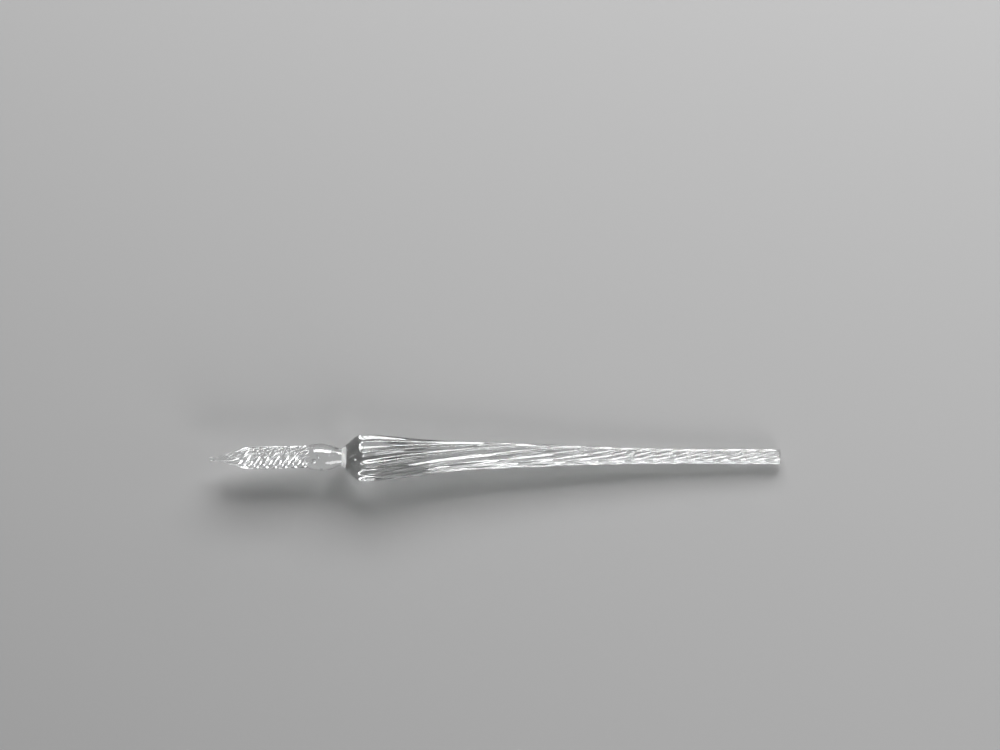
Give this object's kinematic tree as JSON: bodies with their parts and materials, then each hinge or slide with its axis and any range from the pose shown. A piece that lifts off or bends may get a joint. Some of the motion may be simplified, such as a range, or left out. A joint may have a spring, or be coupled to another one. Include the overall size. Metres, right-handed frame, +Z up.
{
  "type": "glass dip pen",
  "caption": "Clear glass dip pen: twisted grooved nib drawn to a blunt point, smooth collar bead, and fluted handle that swells to a bulb and draws out to a thin twisted tail.",
  "frame": {"origin": "centre of the pen's box on the table it lies on, at table height", "axes": "+X along the pen from its nib to its tail, +Z up from the table. The pen rests on its bulb and its tail, so its own axis drops 2.2 degrees towards the tail"},
  "size_m": [0.175, 0.0144, 0.0143],
  "materials": {
    "nib_glass": "clear, fire-polished, its tip ground fine",
    "collar_glass": "clear, fire-polished, with a few seeds",
    "handle_glass": "clear, fire-polished, with a few seeds"
  },
  "bodies": {
    "root": {"nib": "nib_glass", "collar_bead": "collar_glass", "handle": "handle_glass"}
  },
  "joints": []
}
